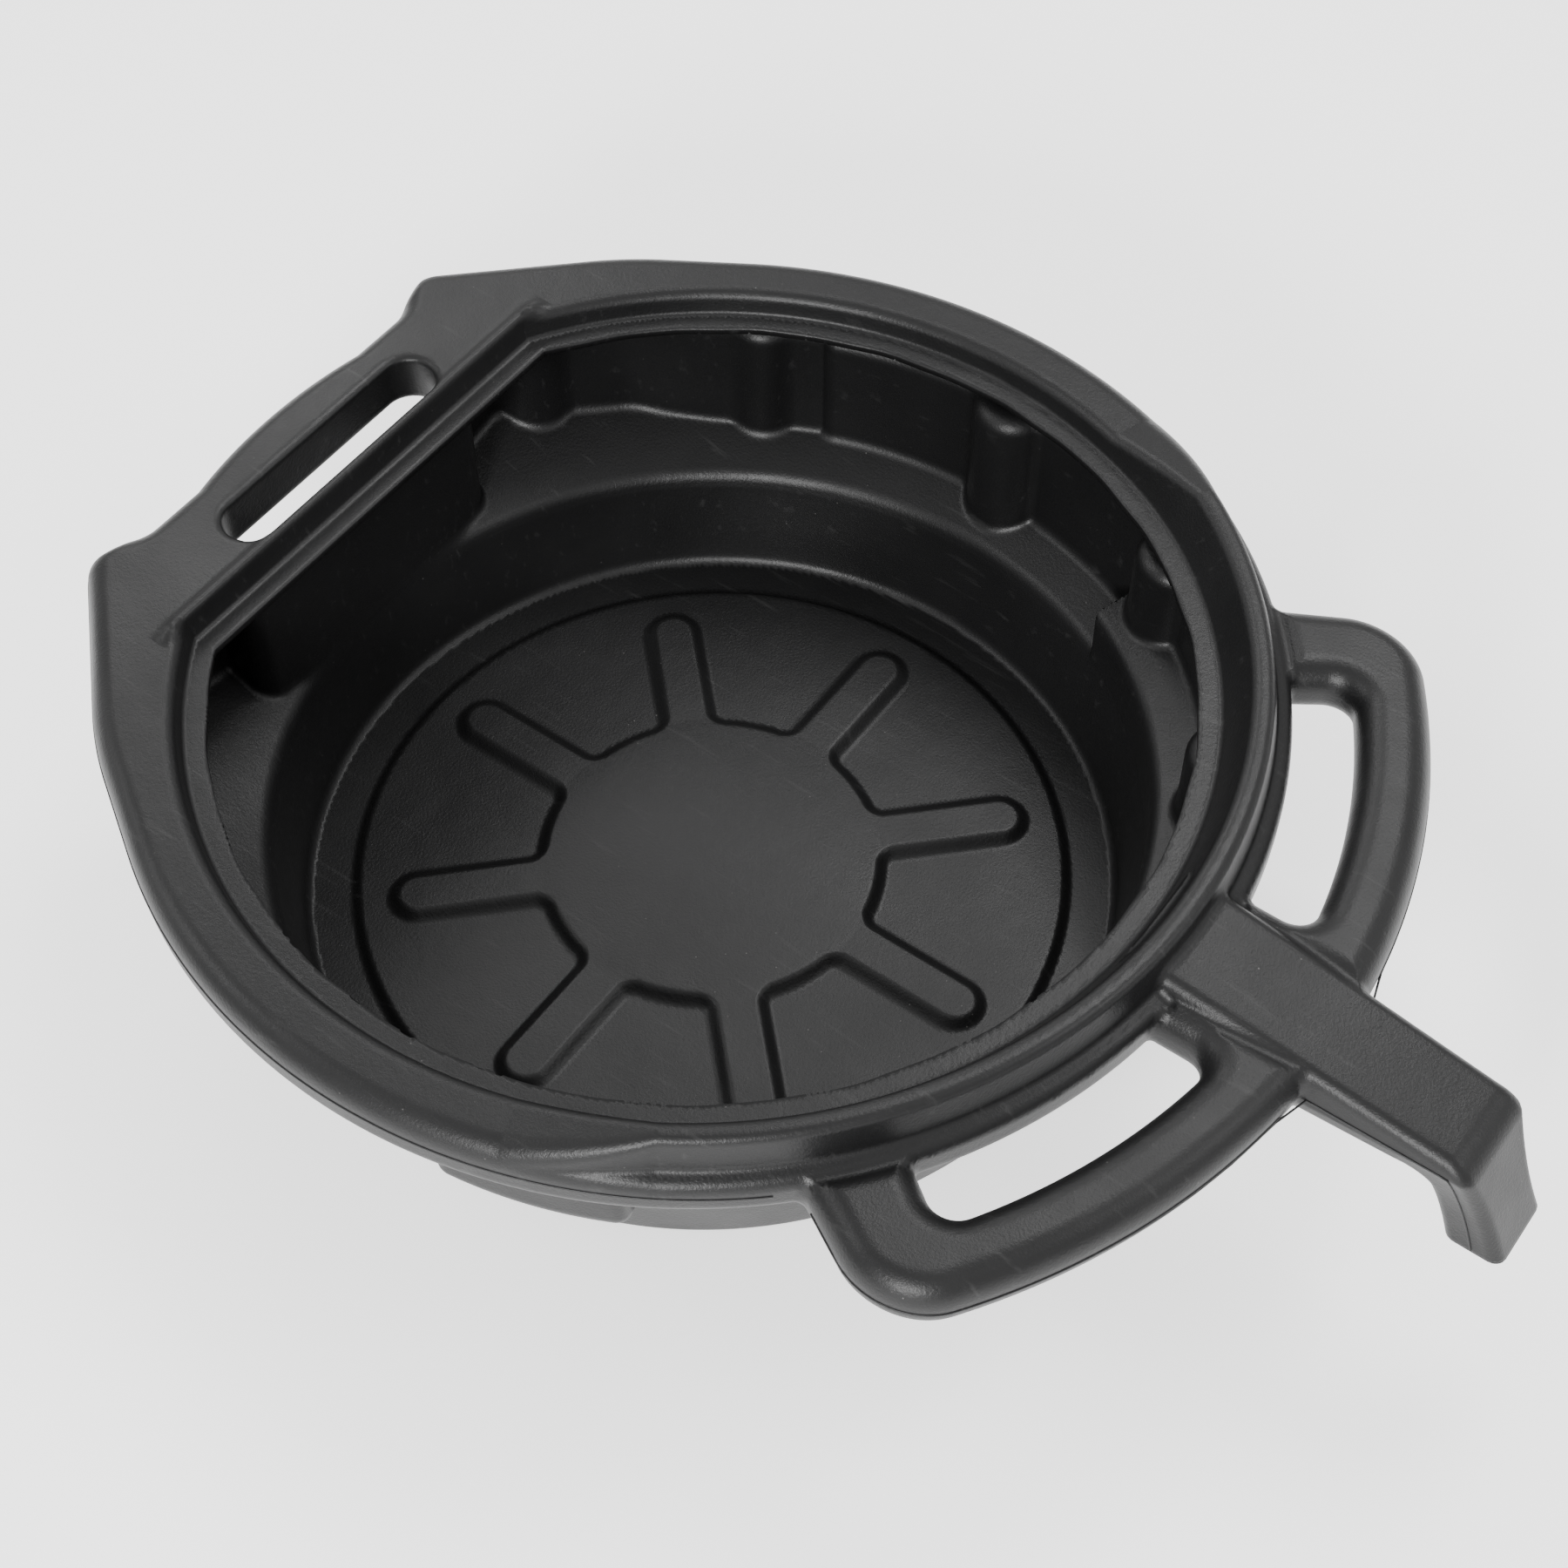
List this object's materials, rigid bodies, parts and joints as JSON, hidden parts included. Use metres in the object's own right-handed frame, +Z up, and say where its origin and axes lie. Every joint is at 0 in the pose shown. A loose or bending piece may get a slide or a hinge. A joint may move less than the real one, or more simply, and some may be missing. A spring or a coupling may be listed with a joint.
{
  "type": "oil drain pan",
  "caption": "Round blow-moulded oil drain pan with a splash lip, a flat rear grip, two side hand loops and a down-turned pouring spout.",
  "frame": {"origin": "centre of the round basin, on the ground plane under its foot ring", "axes": "+Z up, +X from the basin towards the spout, mirror-symmetric about the XZ plane"},
  "size_m": [0.565, 0.433, 0.145],
  "materials": {
    "black_hdpe": "matte black blow-moulded polyethylene with a fine mould grain, lightly dusty and scuffed"
  },
  "bodies": {
    "root": {"basin_floor": "black_hdpe", "foot_ring": "black_hdpe", "lower_wall": "black_hdpe", "front_wall": "black_hdpe", "rear_shoulder": "black_hdpe", "front_shoulder": "black_hdpe", "upper_wall": "black_hdpe", "splash_lip": "black_hdpe", "rim_bead": "black_hdpe", "rear_deck": "black_hdpe", "front_crest": "black_hdpe", "rim_underside": "black_hdpe", "grip_underside": "black_hdpe", "loop_left_top": "black_hdpe", "loop_left_bottom": "black_hdpe", "loop_right_top": "black_hdpe", "loop_right_bottom": "black_hdpe", "spout_top": "black_hdpe", "spout_underside": "black_hdpe", "nozzle_front": "black_hdpe", "nozzle_back": "black_hdpe"}
  },
  "joints": []
}
